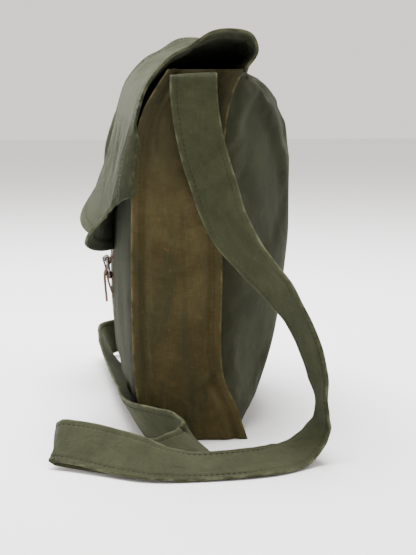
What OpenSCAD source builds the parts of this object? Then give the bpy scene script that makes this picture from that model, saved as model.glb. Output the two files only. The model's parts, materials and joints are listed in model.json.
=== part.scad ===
// Canvas messenger bag: a stuffed body of two panels, two side gussets and a base,
// a flap that folds over the front, one leather buckle closure and a flat shoulder strap.
// Frame: +X to the right-hand gusset, front faces -Y, +Z up, origin at the centre of the base.

/* [Body] */
// Width of the body from gusset to gusset
body_w = 380; // [320:1:460]
// Height of the gussets from the ground to their top edge
body_h = 340; // [280:1:400]
// Depth of the flat base, front to back
base_d = 80; // [64:1:100]
// How far the stuffed front stands out past the base at mid width
front_swell = 30; // [16:1:40]
// How far the stuffed back stands out past the base at mid width
back_swell = 58; // [20:1:80]
// How far the back seams are drawn in at the gussets
rear_pinch = 30; // [10:1:34]
// Thickness of the body canvas with its turnings
canvas_t = 1.6; // [1:0.1:2.4]
// Width of the pinched seam flange beyond the panels
flange_w = 8; // [5:1:12]

/* [Flap] */
// Height of the flap's arch over the body's top edge at the gussets
flap_rise = 31; // [20:1:40]
// How much lower the arch is at mid width
flap_saddle = 26; // [8:1:28]
// Height of the hem above the ground at mid width
hem_mid_z = 159; // [130:1:200]
// Height of the hem above the ground at the side edges
hem_side_z = 227; // [200:1:260]
// How far the hem flares out between the middle and the sides
hem_flare = 30; // [0:1:40]
// Space between the flap and the front of the body
flap_gap = 2.4; // [1:0.1:6]

/* [Closure] */
// Width of the leather billet and chape
leather_w = 18; // [14:1:24]
// Thickness of the leather
leather_t = 2.2; // [1.4:0.1:3]
// Radius of the buckle's wire
wire_r = 1.5; // [1.2:0.1:2]
// Distance between the buckle's lower bar and its roller bar
buckle_h = 18; // [14:1:26]
// Free width between the buckle's side rails and the leather on each side
buckle_side_gap = 2.5; // [1:0.5:4]
// Outer radius of the roller
roller_r = 2.8; // [2.2:0.1:3.6]
// Width of the prong
prong_w = 2.4; // [1.8:0.1:3]
// Radial running clearance on the buckle's bars
bar_clear = 0.06; // [0.04:0.01:0.1]
// Height of the lower bar above the ground
buckle_z = 129; // [110:1:140]
// Length of the billet's free end below the lower bar
billet_tail = 27; // [15:1:40]

/* [Shoulder strap] */
// Width of the strap
strap_w = 42; // [32:1:50]
// Thickness of the strap
strap_t = 3; // [2:0.1:4]

/* [Hidden] */

CANVAS = [0.27, 0.29, 0.22];
FADED = [0.31, 0.28, 0.19];
LEATHER = [0.30, 0.14, 0.09];
STEEL = [0.22, 0.21, 0.20];
WIDE_STEPS = 24;
TALL_STEPS = 16;
FLAP_STEPS = 26;
TIGHT_FN = 48;

half_w = body_w / 2;
half_d = base_d / 2;

// Outlines of the panels, as [share of the swell or pinch, share of the height]
FRONT_MID = [
    [0, 0], [0.62, 0.06], [0.9, 0.18], [1, 0.34],
    [0.97, 0.59], [0.82, 0.77], [0.45, 0.89], [-0.3, 1]];
FRONT_SIDE = [
    [-0.1, 0], [0.3, 0.065], [0.5, 0.18], [0.57, 0.34],
    [0.57, 0.58], [0.5, 0.77], [0.2, 0.89], [-0.55, 1]];
BACK_MID = [
    [0.1, 0], [0.42, 0.09], [0.76, 0.25], [0.95, 0.47], [1, 0.62],
    [0.92, 0.77], [0.7, 0.88], [0.4, 0.95], [0.03, 1]];
BACK_SIDE = [
    [0.2, 0], [0.55, 0.09], [1, 0.2], [1, 0.44], [1, 0.62],
    [0.97, 0.77], [0.84, 0.88], [0.62, 0.95], [0.35, 1]];

// ---- curves and shells ----
function clamp(v, low, high) = min(max(v, low), high);
function catmull(a, b, c, d, t) =
    0.5 * (2 * b + (c - a) * t + (2 * a - 5 * b + 4 * c - d) * t * t + (3 * b - a - 3 * c + d) * t * t * t);
function along(points, t) =
    let (last = len(points) - 1, s = clamp(t, 0, 1) * last, i = min(floor(s), last - 1))
    catmull(points[max(i - 1, 0)], points[i], points[i + 1], points[min(i + 2, last)], s - i);
function unit(v) = v / norm(v);
function belly(t) = pow(1 - pow(abs(t), 2.6), 0.8);

// Unit normal of the surface f at (u, v)
function facing(f, u, v, e = 0.002) =
    unit(cross(f(min(u + e, 1), v) - f(max(u - e, 0), v), f(u, min(v + e, 1)) - f(u, max(v - e, 0))));
function grid(f, nu, nv, depth) =
    [for (j = [0:nv]) for (i = [0:nu]) f(i / nu, j / nv) - depth * facing(f, i / nu, j / nv)];

// A cloth shell: the surface f and its copy t behind it, closed round the rim
module shell(f, nu, nv, t) {
    row = nu + 1;
    count = row * (nv + 1);
    function at(i, j, layer) = layer * count + j * row + i;
    skin = [for (j = [0:nv - 1]) for (i = [0:nu - 1])
        each [
            [at(i, j, 0), at(i, j + 1, 0), at(i + 1, j + 1, 0)],
            [at(i, j, 0), at(i + 1, j + 1, 0), at(i + 1, j, 0)]]];
    lining = [for (q = skin) [q[2] + count, q[1] + count, q[0] + count]];
    rim_x = [for (i = [0:nu - 1]) each [
        [at(i, 0, 0), at(i + 1, 0, 0), at(i + 1, 0, 1)], [at(i, 0, 0), at(i + 1, 0, 1), at(i, 0, 1)],
        [at(i, nv, 0), at(i + 1, nv, 1), at(i + 1, nv, 0)], [at(i, nv, 0), at(i, nv, 1), at(i + 1, nv, 1)]]];
    rim_z = [for (j = [0:nv - 1]) each [
        [at(0, j, 0), at(0, j + 1, 1), at(0, j + 1, 0)], [at(0, j, 0), at(0, j, 1), at(0, j + 1, 1)],
        [at(nu, j, 0), at(nu, j + 1, 0), at(nu, j + 1, 1)], [at(nu, j, 0), at(nu, j + 1, 1), at(nu, j, 1)]]];
    polyhedron(
        concat(grid(f, nu, nv, 0), grid(f, nu, nv, t)),
        concat(skin, lining, rim_x, rim_z),
        convexity = 8);
}

// ---- the body ----
function front_line(points, v) = let (p = along(points, v)) [-(half_d + front_swell * p[0]), body_h * p[1]];
function back_mid_line(v) = let (p = along(BACK_MID, v)) [half_d + back_swell * p[0], body_h * p[1]];
function back_side_line(v) = let (p = along(BACK_SIDE, v)) [half_d - rear_pinch * p[0], body_h * p[1]];
function place(x, yz) = [x, yz[0], yz[1]];
function front_at(u, v) =
    let (t = 2 * u - 1, side = front_line(FRONT_SIDE, v), mid = front_line(FRONT_MID, v))
    place(half_w * t, side + (mid - side) * belly(t));
function back_at(u, v) =
    let (t = 1 - 2 * u, side = back_side_line(v), mid = back_mid_line(v))
    place(half_w * t, side + (mid - side) * belly(t));

module front_panel() {
    color(CANVAS) shell(function(u, v) front_at(u, v), WIDE_STEPS, TALL_STEPS, canvas_t);
}

module back_panel() {
    color(CANVAS) shell(function(u, v) back_at(u, v), WIDE_STEPS, TALL_STEPS, canvas_t);
}

// The gusset is cut to the side outlines with a flange front and back, and stands outside the panels
function below_flap(p) = [p[0], min(p[1], body_h - canvas_t)];
function gusset_outline() = concat(
    [for (j = [0:TALL_STEPS]) below_flap(front_line(FRONT_SIDE, j / TALL_STEPS) - [flange_w, 0])],
    [for (j = [TALL_STEPS:-1:0]) below_flap(back_side_line(j / TALL_STEPS) + [flange_w, 0])]);

module gusset() {
    rotate([90, 0, 90]) linear_extrude(canvas_t) polygon(gusset_outline());
}

module right_gusset() {
    color(FADED) translate([half_w, 0, 0]) gusset();
}

module left_gusset() {
    color(FADED) translate([-half_w - canvas_t, 0, 0]) gusset();
}

base_front = front_line(FRONT_SIDE, 0)[0] + 2 * canvas_t;
base_back = back_side_line(0)[0] - 2 * canvas_t;

module base_panel() {
    color(CANVAS) translate([-half_w, base_front, 0]) cube([body_w, base_back - base_front, canvas_t]);
}

// ---- the flap ----
hinge_y = back_mid_line(1)[0];
hinge_z = body_h + canvas_t;
front_y = -(half_d + front_swell);
top_y = front_line(FRONT_MID, 1)[0];
shoulder_y = front_line(FRONT_MID, 0.8)[0] - flap_gap;
shoulder_z = 0.86 * body_h;
wall_y = front_y - flap_gap;

function arch(t) = flap_rise - flap_saddle * pow(1 - t * t, 2);
function hem_z(t) = hem_mid_z + (hem_side_z - hem_mid_z) * pow(abs(t), 2.5);
function flare(t) = hem_flare * pow(max(sin(180 * pow(abs(t), 1.3)), 0), 1.2);

// Over the top, from the hinge line to the front shoulder
function over_top(t) = [
    [hinge_y, hinge_z],
    [hinge_y + 4, hinge_z + 0.45 * arch(t)],
    [hinge_y - 2, hinge_z + 0.85 * arch(t)],
    [hinge_y - 16, hinge_z + arch(t)],
    [hinge_y - 34, hinge_z + 0.93 * arch(t)],
    [hinge_y - 53, hinge_z + 0.55 * arch(t)],
    [top_y, hinge_z + 0.16 * arch(t) + flap_gap],
    [0.45 * top_y + 0.55 * shoulder_y - 3, 0.945 * body_h + flap_gap],
    [shoulder_y, shoulder_z]];
// Down the front, from the shoulder to the hem
function down_front(t, s) =
    let (edge = hem_z(t), z = shoulder_z + (edge - shoulder_z) * s)
    [shoulder_y + (wall_y - shoulder_y) * sin(90 * min(1.6 * s, 1)) - flare(t) * pow(s, 3), z];
TOP_SHARE = 0.5;
function flap_at(u, v) =
    let (t = 2 * u - 1)
    place((half_w + canvas_t) * t,
          v < TOP_SHARE
              ? along(over_top(t), v / TOP_SHARE)
              : down_front(t, (v - TOP_SHARE) / (1 - TOP_SHARE)));

module flap() {
    color(CANVAS) shell(function(u, v) flap_at(u, 1 - v), WIDE_STEPS, FLAP_STEPS, canvas_t);
}

// ---- the closure ----
bar_y = wall_y - 5;
roller_y = bar_y - 3;
roller_z = buckle_z + buckle_h;
loop_r = wire_r + bar_clear;
rail_x = leather_w / 2 + buckle_side_gap + wire_r;
slot_w = prong_w + 1;

module ring_2d(inner, outer) {
    difference() {
        circle(outer, $fn = TIGHT_FN);
        circle(inner, $fn = TIGHT_FN);
    }
}

// Extrudes a side view, drawn as [y, z], to a width centred on the bag
module side_view(width) {
    translate([-width / 2, 0, 0]) rotate([90, 0, 90]) linear_extrude(width) children();
}

module bar(y, z, r, width) {
    translate([-width / 2, y, z]) rotate([0, 90, 0]) cylinder(r = r, h = width, $fn = TIGHT_FN);
}

chape_r = loop_r + leather_t;
chape_foot = [front_y - leather_t / 2, buckle_z - 32];

module chape_outline() {
    difference() {
        union() {
            translate([bar_y, buckle_z]) circle(chape_r, $fn = TIGHT_FN);
            polygon([[bar_y - chape_r * 0.8, buckle_z - chape_r * 0.3],
                     [bar_y + chape_r * 0.8, buckle_z - chape_r * 0.3],
                     chape_foot + [0.9, 12], chape_foot + [0.9, -8], chape_foot + [-leather_t, -8],
                     chape_foot + [-leather_t, 8]]);
        }
        translate([bar_y, buckle_z]) circle(loop_r, $fn = TIGHT_FN);
    }
}

module closure_chape() {
    color(LEATHER) difference() {
        side_view(leather_w) chape_outline();
        translate([-slot_w / 2, bar_y - 12, buckle_z - 5]) cube([slot_w, 24, 12]);
    }
}

// The billet's centre line: down behind the roller, out through the frame and over the chape
billet_clear = 0.5;
over_y = bar_y - chape_r - billet_clear - leather_t / 2;
BILLET = [
    [wall_y + canvas_t + flap_gap - 3.1, hem_mid_z + 30],
    [wall_y - 1.2, hem_mid_z - 3],
    [roller_y + roller_r + billet_clear + leather_t / 2, roller_z + 1],
    [roller_y + roller_r + billet_clear + leather_t / 2, roller_z - 4],
    [over_y + 1, buckle_z + 5],
    [over_y, buckle_z - 3],
    [over_y + 2, buckle_z - billet_tail]];

module strip_2d(points, t) {
    for (i = [0:len(points) - 2]) hull() {
        translate(points[i]) circle(d = t, $fn = 32);
        translate(points[i + 1]) circle(d = t, $fn = 32);
    }
}

module closure_billet() {
    color(LEATHER) difference() {
        side_view(leather_w) strip_2d(BILLET, leather_t);
        translate([-slot_w / 2, over_y - 6, buckle_z + 1.5]) cube([slot_w, 14, buckle_h - 4]);
    }
}

rail_dir = [0, roller_y - bar_y, buckle_h];
corner_r = wire_r + 0.08;

module rail(x) {
    translate([x, bar_y, buckle_z]) rotate([atan2(-rail_dir[1], rail_dir[2]), 0, 0])
        cylinder(r = wire_r, h = norm(rail_dir), $fn = TIGHT_FN);
}

module buckle_frame() {
    color(STEEL) {
        bar(bar_y, buckle_z, wire_r, 2 * rail_x);
        bar(roller_y, roller_z, wire_r, 2 * rail_x);
        for (x = [-rail_x, rail_x]) {
            rail(x);
            translate([x, bar_y, buckle_z]) sphere(r = corner_r, $fn = TIGHT_FN);
            translate([x, roller_y, roller_z]) sphere(r = corner_r, $fn = TIGHT_FN);
        }
    }
}

module buckle_roller() {
    color(STEEL) difference() {
        bar(roller_y, roller_z, roller_r, 2 * (rail_x - wire_r) - 1);
        bar(roller_y, roller_z, wire_r + bar_clear, 2 * rail_x);
    }
}

// The prong loops round the lower bar and its tip rests on the front of the roller
prong_r = loop_r + 1;
prong_tip = [roller_y - roller_r - 1.3, roller_z + 2];

module buckle_prong() {
    color(STEEL) side_view(prong_w) {
        translate([bar_y, buckle_z]) ring_2d(loop_r, prong_r);
        difference() {
            polygon([[bar_y - 2.5, buckle_z - 0.8], [bar_y - 1.2, buckle_z + 2.2], prong_tip + [1, -1.5],
                     prong_tip + [1, 0], prong_tip, prong_tip + [-0.9, -2]]);
            translate([bar_y, buckle_z]) circle(loop_r, $fn = TIGHT_FN);
        }
    }
}

// ---- the shoulder strap ----
// Its route: centre of the strap, then the direction of its width from one edge to the other
STRAP = [
    [[194, -6, 292], [0, 1, 0]],
    [[194, -7, 307], [0, 1, 0.02]],
    [[194.5, -9, 322], [0, 1, 0.04]],
    [[197.5, -9, 335], [0, 1, 0.06]],
    [[201, -9, 335], [0, 1, 0.06]],
    [[203, -9, 320], [0.02, 1, 0.06]],
    [[202, -7, 300], [0.04, 1, 0.1]],
    [[203, -2, 272], [0.09, 0.99, 0.16]],
    [[208, 8, 237], [0.27, 0.93, 0.23]],
    [[216, 20, 202], [0.48, 0.8, 0.36]],
    [[228, 42, 169], [0.7, 0.53, 0.49]],
    [[239, 62, 146], [0.76, 0.4, 0.5]],
    [[248, 77, 123], [0.88, 0.3, 0.37]],
    [[254, 88, 98], [0.92, 0.33, 0.22]],
    [[258, 95, 73], [0.95, 0.26, 0.16]],
    [[261, 98, 50], [0.98, 0.05, 0.18]],
    [[263, 98, 37], [0.98, 0.12, 0.1]],
    [[266, 94, 26], [0.93, 0.35, 0.05]],
    [[271, 86, 17], [0.92, 0.38, -0.1]],
    [[280, 75, 11], [0.92, 0.3, -0.2]],
    [[293, 62, 9], [0.93, 0.22, -0.3]],
    [[305, 45, 9], [0.93, 0.14, -0.31]],
    [[312, 25, 9], [0.94, 0.04, -0.32]],
    [[316, 3, 9], [0.94, -0.03, -0.32]],
    [[318, -18, 9], [0.94, -0.06, -0.32]],
    [[319, -38, 11], [0.9, -0.08, -0.42]],
    [[317, -56, 14], [0.83, -0.08, -0.55]],
    [[308, -74, 17], [0.76, -0.08, -0.65]],
    [[296, -91, 19], [0.72, -0.1, -0.69]],
    [[284, -108, 21], [0.7, -0.1, -0.71]],
    [[274, -124, 22], [0.7, -0.1, -0.71]],
    [[270, -131, 22], [0.7, -0.1, -0.71]],
    [[266, -136, 20], [0.7, -0.1, -0.71]],
    [[266, -131, 17], [0.7, -0.1, -0.71]],
    [[268, -125, 17], [0.7, -0.1, -0.71]],
    [[279, -109, 17], [0.68, -0.1, -0.72]],
    [[290, -92, 15.5], [0.75, -0.1, -0.65]],
    [[296, -76, 14.5], [0.8, -0.05, -0.6]],
    [[297, -60, 13], [0.85, 0, -0.53]],
    [[294, -45, 12.5], [0.85, 0.15, -0.5]],
    [[288, -30, 14.5], [0.75, 0.3, -0.6]],
    [[277, -17, 15.5], [0.6, 0.5, -0.62]],
    [[262, -13, 16.5], [0.45, 0.65, -0.61]],
    [[246, -22, 19.5], [0.3, 0.65, -0.7]],
    [[228, -38, 20.3], [0.15, 0.55, -0.82]],
    [[205, -55, 20.5], [0.05, 0.48, -0.87]],
    [[175, -63, 20], [0, 0.5, -0.87]],
    [[130, -64, 19.5], [0, 0.55, -0.83]],
    [[80, -64, 18.5], [0, 0.62, -0.78]],
    [[25, -65, 18], [0, 0.68, -0.73]],
    [[-35, -66, 17], [0, 0.72, -0.69]],
    [[-95, -68, 17], [0, 0.72, -0.69]],
    [[-150, -71, 18], [0, 0.66, -0.75]],
    [[-195, -74, 20], [0, 0.5, -0.87]],
    [[-225, -75, 21.5], [-0.1, 0.3, -0.95]],
    [[-240, -67, 23], [-0.2, 0.15, -0.96]],
    [[-243, -52, 27], [-0.3, 0.3, -0.9]],
    [[-238, -39, 40], [-0.25, 0.75, -0.6]],
    [[-230, -29, 65], [-0.15, 0.93, -0.33]],
    [[-222, -21, 100], [-0.08, 0.98, -0.2]],
    [[-214, -15, 145], [-0.04, 0.99, -0.12]],
    [[-208, -11, 195], [-0.02, 1, -0.08]],
    [[-204, -9, 245], [0, 1, -0.04]],
    [[-202, -8, 290], [0, 1, 0]],
    [[-202, -8, 314], [0, 1, 0]],
    [[-200, -8, 326], [0, 1, 0]],
    [[-196, -8, 326], [0, 1, 0]],
    [[-194, -8, 314], [0, 1, 0]],
    [[-194, -8, 290], [0, 1, 0]],
    [[-194, -8, 262], [0, 1, 0]]];

// The stations are for a bag this wide and this high, and below the last height they stay near the floor
ROUTE_W = 380;
ROUTE_H = 340;
ROUTE_LOW = 40;

// A station's point on this bag: it keeps its distance from the gussets, and hangs from the bag's top
function fitted(p) =
    let (half = ROUTE_W / 2, out = max(abs(p[0]) - half, 0), across = min(max(p[0], -half), half))
    [across * (body_w / ROUTE_W) + sign(p[0]) * out, p[1],
     p[2] + (body_h - ROUTE_H) * max(p[2] - ROUTE_LOW, 0) / (ROUTE_H - ROUTE_LOW)];

ROUTE = [for (station = STRAP) fitted(station[0])];

// Corners of the strap's section at station i, square to its route
function strap_ring(i) =
    let (last = len(STRAP) - 1, c = ROUTE[i],
         run = unit(ROUTE[min(i + 1, last)] - ROUTE[max(i - 1, 0)]),
         w = unit(STRAP[i][1] - run * (STRAP[i][1] * run)), n = cross(run, w))
    [for (k = [[-1, -1], [1, -1], [1, 1], [-1, 1]]) c + w * k[0] * strap_w / 2 + n * k[1] * strap_t / 2];

module shoulder_strap() {
    rings = len(STRAP);
    points = [for (i = [0:rings - 1]) each strap_ring(i)];
    walls = [for (i = [0:rings - 2]) for (k = [0:3]) let (a = 4 * i + k, b = 4 * i + (k + 1) % 4)
        each [[a, b, b + 4], [a, b + 4, a + 4]]];
    ends = [[3, 2, 1], [3, 1, 0], for (q = [[0, 1, 2], [0, 2, 3]]) [for (k = q) 4 * (rings - 1) + k]];
    color(CANVAS) polyhedron(points, concat(walls, ends), convexity = 12);
}

front_panel();
back_panel();
right_gusset();
left_gusset();
base_panel();
flap();
closure_chape();
closure_billet();
buckle_frame();
buckle_roller();
buckle_prong();
shoulder_strap();
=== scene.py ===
"""Canvas messenger bag: canvas, leather, thread and steel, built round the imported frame."""

import json
import logging
import math
from dataclasses import dataclass, field
from enum import Enum
from functools import lru_cache
from typing import Callable, Sequence

import bmesh
import bpy
from mathutils import Matrix, Vector, noise

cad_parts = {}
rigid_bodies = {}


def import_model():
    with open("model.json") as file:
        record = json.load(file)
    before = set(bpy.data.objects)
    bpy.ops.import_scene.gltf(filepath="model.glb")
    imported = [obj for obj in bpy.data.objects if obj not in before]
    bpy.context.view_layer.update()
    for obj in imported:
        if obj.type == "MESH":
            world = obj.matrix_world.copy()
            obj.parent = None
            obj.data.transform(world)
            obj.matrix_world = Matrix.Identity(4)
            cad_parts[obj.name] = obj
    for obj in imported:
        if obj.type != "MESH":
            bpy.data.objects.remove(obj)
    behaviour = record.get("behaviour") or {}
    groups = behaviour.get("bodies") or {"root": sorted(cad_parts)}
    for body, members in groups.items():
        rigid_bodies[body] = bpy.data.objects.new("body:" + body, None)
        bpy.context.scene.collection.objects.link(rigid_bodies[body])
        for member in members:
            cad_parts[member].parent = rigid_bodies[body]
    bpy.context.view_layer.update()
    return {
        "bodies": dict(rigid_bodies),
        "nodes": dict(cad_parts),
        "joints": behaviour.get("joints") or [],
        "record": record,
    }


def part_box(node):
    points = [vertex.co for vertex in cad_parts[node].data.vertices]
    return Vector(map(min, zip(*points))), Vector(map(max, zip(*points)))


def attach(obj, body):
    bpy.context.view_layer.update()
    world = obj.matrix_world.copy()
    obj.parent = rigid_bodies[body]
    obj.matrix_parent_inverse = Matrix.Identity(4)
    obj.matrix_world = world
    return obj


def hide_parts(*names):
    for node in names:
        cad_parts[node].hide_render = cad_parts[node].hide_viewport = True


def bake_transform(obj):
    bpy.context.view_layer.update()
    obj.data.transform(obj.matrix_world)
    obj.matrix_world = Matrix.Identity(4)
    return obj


log = logging.getLogger("messenger_bag")

Point = tuple[float, float]
Station = tuple[tuple[float, float, float], tuple[float, float, float]]
Place = Callable[[float, float], Vector]
Colour = tuple[float, float, float, float]
MM = 0.001

# The strap's route: its centre, then the direction of its width, from the right gusset to the left one
STRAP_ROUTE: tuple[Station, ...] = (
    ((0.194, -0.006, 0.292), (0.0, 1.0, 0.0)),
    ((0.194, -0.007, 0.307), (0.0, 1.0, 0.02)),
    ((0.1945, -0.009, 0.322), (0.0, 1.0, 0.04)),
    ((0.1975, -0.009, 0.335), (0.0, 1.0, 0.06)),
    ((0.201, -0.009, 0.335), (0.0, 1.0, 0.06)),
    ((0.203, -0.009, 0.32), (0.02, 1.0, 0.06)),
    ((0.202, -0.007, 0.3), (0.04, 1.0, 0.1)),
    ((0.203, -0.002, 0.272), (0.09, 0.99, 0.16)),
    ((0.208, 0.008, 0.237), (0.27, 0.93, 0.23)),
    ((0.216, 0.02, 0.202), (0.48, 0.8, 0.36)),
    ((0.228, 0.042, 0.169), (0.7, 0.53, 0.49)),
    ((0.239, 0.062, 0.146), (0.76, 0.4, 0.5)),
    ((0.248, 0.077, 0.123), (0.88, 0.3, 0.37)),
    ((0.254, 0.088, 0.098), (0.92, 0.33, 0.22)),
    ((0.258, 0.095, 0.073), (0.95, 0.26, 0.16)),
    ((0.261, 0.098, 0.05), (0.98, 0.05, 0.18)),
    ((0.263, 0.098, 0.037), (0.98, 0.12, 0.1)),
    ((0.266, 0.094, 0.026), (0.93, 0.35, 0.05)),
    ((0.271, 0.086, 0.017), (0.92, 0.38, -0.1)),
    ((0.28, 0.075, 0.011), (0.92, 0.3, -0.2)),
    ((0.293, 0.062, 0.009), (0.93, 0.22, -0.3)),
    ((0.305, 0.045, 0.009), (0.93, 0.14, -0.31)),
    ((0.312, 0.025, 0.009), (0.94, 0.04, -0.32)),
    ((0.316, 0.003, 0.009), (0.94, -0.03, -0.32)),
    ((0.318, -0.018, 0.009), (0.94, -0.06, -0.32)),
    ((0.319, -0.038, 0.011), (0.9, -0.08, -0.42)),
    ((0.317, -0.056, 0.014), (0.83, -0.08, -0.55)),
    ((0.308, -0.074, 0.017), (0.76, -0.08, -0.65)),
    ((0.296, -0.091, 0.019), (0.72, -0.1, -0.69)),
    ((0.284, -0.108, 0.021), (0.7, -0.1, -0.71)),
    ((0.274, -0.124, 0.022), (0.7, -0.1, -0.71)),
    ((0.27, -0.131, 0.022), (0.7, -0.1, -0.71)),
    ((0.266, -0.136, 0.02), (0.7, -0.1, -0.71)),
    ((0.266, -0.131, 0.017), (0.7, -0.1, -0.71)),
    ((0.268, -0.125, 0.017), (0.7, -0.1, -0.71)),
    ((0.279, -0.109, 0.017), (0.68, -0.1, -0.72)),
    ((0.29, -0.092, 0.0155), (0.75, -0.1, -0.65)),
    ((0.296, -0.076, 0.0145), (0.8, -0.05, -0.6)),
    ((0.297, -0.06, 0.013), (0.85, 0.0, -0.53)),
    ((0.294, -0.045, 0.0125), (0.85, 0.15, -0.5)),
    ((0.288, -0.03, 0.0145), (0.75, 0.3, -0.6)),
    ((0.277, -0.017, 0.0155), (0.6, 0.5, -0.62)),
    ((0.262, -0.013, 0.0165), (0.45, 0.65, -0.61)),
    ((0.246, -0.022, 0.0195), (0.3, 0.65, -0.7)),
    ((0.228, -0.038, 0.0203), (0.15, 0.55, -0.82)),
    ((0.205, -0.055, 0.0205), (0.05, 0.48, -0.87)),
    ((0.175, -0.063, 0.02), (0.0, 0.5, -0.87)),
    ((0.13, -0.064, 0.0195), (0.0, 0.55, -0.83)),
    ((0.08, -0.064, 0.0185), (0.0, 0.62, -0.78)),
    ((0.025, -0.065, 0.018), (0.0, 0.68, -0.73)),
    ((-0.035, -0.066, 0.017), (0.0, 0.72, -0.69)),
    ((-0.095, -0.068, 0.017), (0.0, 0.72, -0.69)),
    ((-0.15, -0.071, 0.018), (0.0, 0.66, -0.75)),
    ((-0.195, -0.074, 0.02), (0.0, 0.5, -0.87)),
    ((-0.225, -0.075, 0.0215), (-0.1, 0.3, -0.95)),
    ((-0.24, -0.067, 0.023), (-0.2, 0.15, -0.96)),
    ((-0.243, -0.052, 0.027), (-0.3, 0.3, -0.9)),
    ((-0.238, -0.039, 0.04), (-0.25, 0.75, -0.6)),
    ((-0.23, -0.029, 0.065), (-0.15, 0.93, -0.33)),
    ((-0.222, -0.021, 0.1), (-0.08, 0.98, -0.2)),
    ((-0.214, -0.015, 0.145), (-0.04, 0.99, -0.12)),
    ((-0.208, -0.011, 0.195), (-0.02, 1.0, -0.08)),
    ((-0.204, -0.009, 0.245), (0.0, 1.0, -0.04)),
    ((-0.202, -0.008, 0.29), (0.0, 1.0, 0.0)),
    ((-0.202, -0.008, 0.314), (0.0, 1.0, 0.0)),
    ((-0.2, -0.008, 0.326), (0.0, 1.0, 0.0)),
    ((-0.196, -0.008, 0.326), (0.0, 1.0, 0.0)),
    ((-0.194, -0.008, 0.314), (0.0, 1.0, 0.0)),
    ((-0.194, -0.008, 0.29), (0.0, 1.0, 0.0)),
    ((-0.194, -0.008, 0.262), (0.0, 1.0, 0.0)),
)


class Body(Enum):
    """The frame's moving bodies."""

    ROOT = "root"
    FLAP = "flap"


class Slot(Enum):
    """The record's material slots."""

    BODY = "body_canvas"
    GUSSET = "gusset_canvas"
    STRAP = "strap_canvas"
    LEATHER = "leather"
    STEEL = "buckle_steel"


# ---------------------------------------------------------------- curves
def clamp(value: float, low: float = 0.0, high: float = 1.0) -> float:
    """Keep a value between two limits."""
    return min(max(value, low), high)


def smooth(low: float, high: float, value: float) -> float:
    """Rise smoothly from 0 at low to 1 at high.

    Args:
        low: Value where the rise starts; it may be above high, for a fall.
        high: Value where it ends.
        value: The value itself.

    Returns:
        A share from 0 to 1.
    """
    t = clamp((value - low) / (high - low))
    return t * t * (3 - 2 * t)


def bump_at(value: float, centre: float, width: float) -> float:
    """A round hill of height 1 at centre."""
    return math.exp(-(((value - centre) / width) ** 2))


def wander(x: float, y: float, seed: float) -> float:
    """Smooth noise from -1 to 1 over a plane."""
    return noise.noise(Vector((x, y, seed)))


@dataclass(frozen=True)
class Outline:
    """A smooth line through a few points, all on one plane."""

    points: tuple[Point, ...]

    def at(self, t: float) -> Vector:
        """Point on the line.

        Args:
            t: Share of the way along, from 0 to 1.

        Returns:
            The point, as a two-dimensional vector.
        """
        last = len(self.points) - 1
        s = clamp(t) * last
        i = min(int(s), last - 1)
        a, b, c, d = (Vector(self.points[min(max(i + k, 0), last)]) for k in (-1, 0, 1, 2))
        f = s - i
        slope, bend, twist = c - a, 2 * a - 5 * b + 4 * c - d, 3 * b - a - 3 * c + d
        return 0.5 * (2 * b + slope * f + bend * f**2 + twist * f**3)

    @lru_cache(maxsize=None)
    def across_at(self, height: float, steps: int = 160) -> float:
        """First coordinate where the second one reaches a height.

        Args:
            height: The second coordinate.
            steps: How finely the line is searched.

        Returns:
            The first coordinate there.
        """
        before = self.at(0)
        for k in range(1, steps + 1):
            here = self.at(k / steps)
            if here.y >= height or k == steps:
                span = max(here.y - before.y, 1e-9)
                return before.x + (here.x - before.x) * clamp((height - before.y) / span)
            before = here
        return before.x


@dataclass(frozen=True)
class Route:
    """A smooth way through stations, each with the direction of the strap's width."""

    stations: tuple[Station, ...]

    def lengths(self) -> list[float]:
        """Distance from the start to each station, along straight lines.

        Returns:
            One distance for each station, in metres.
        """
        total, marks = 0.0, [0.0]
        for (a, _), (b, _) in zip(self.stations, self.stations[1:]):
            total += (Vector(b) - Vector(a)).length
            marks.append(total)
        return marks

    def sample(self, step: float) -> list[tuple[Vector, Vector]]:
        """Points along the route with the strap's width direction at each.

        Args:
            step: Distance between points, in metres.

        Returns:
            Pairs of a point and a unit vector square to the route.
        """
        marks = self.lengths()
        count = max(int(marks[-1] / step), 2)
        centres, widths, i = [], [], 0
        for k in range(count + 1):
            s = marks[-1] * k / count
            while i < len(marks) - 2 and s > marks[i + 1]:
                i += 1
            centres.append(self._centre(i, s, marks))
            f = smooth(marks[i], marks[i + 1], s)
            widths.append(Vector(self.stations[i][1]).lerp(Vector(self.stations[i + 1][1]), f))
        found = []
        for k, (centre, width) in enumerate(zip(centres, widths)):
            run = (centres[min(k + 1, count)] - centres[max(k - 1, 0)]).normalized()
            found.append((centre, (width - run * width.dot(run)).normalized()))
        return found

    def _centre(self, i: int, s: float, marks: Sequence[float]) -> Vector:
        """Hermite curve between two stations, with slopes fitted to uneven spacing.

        Args:
            i: The station before the point.
            s: Distance of the point along the route.
            marks: Distance of each station.

        Returns:
            The strap's centre there.
        """
        last = len(self.stations) - 1
        here, there = Vector(self.stations[i][0]), Vector(self.stations[i + 1][0])
        gap = marks[i + 1] - marks[i]
        chord = (there - here) / gap
        before = after = chord
        if i > 0:
            before = (here - Vector(self.stations[i - 1][0])) / (marks[i] - marks[i - 1])
        if i + 1 < last:
            after = (Vector(self.stations[i + 2][0]) - there) / (marks[i + 2] - marks[i + 1])
        m0, m1 = (before + chord) / 2 * gap, (chord + after) / 2 * gap
        t = (s - marks[i]) / gap
        return (
            here * (2 * t**3 - 3 * t**2 + 1)
            + m0 * (t**3 - 2 * t**2 + t)
            + there * (3 * t**2 - 2 * t**3)
            + m1 * (t**3 - t**2)
        )


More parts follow.
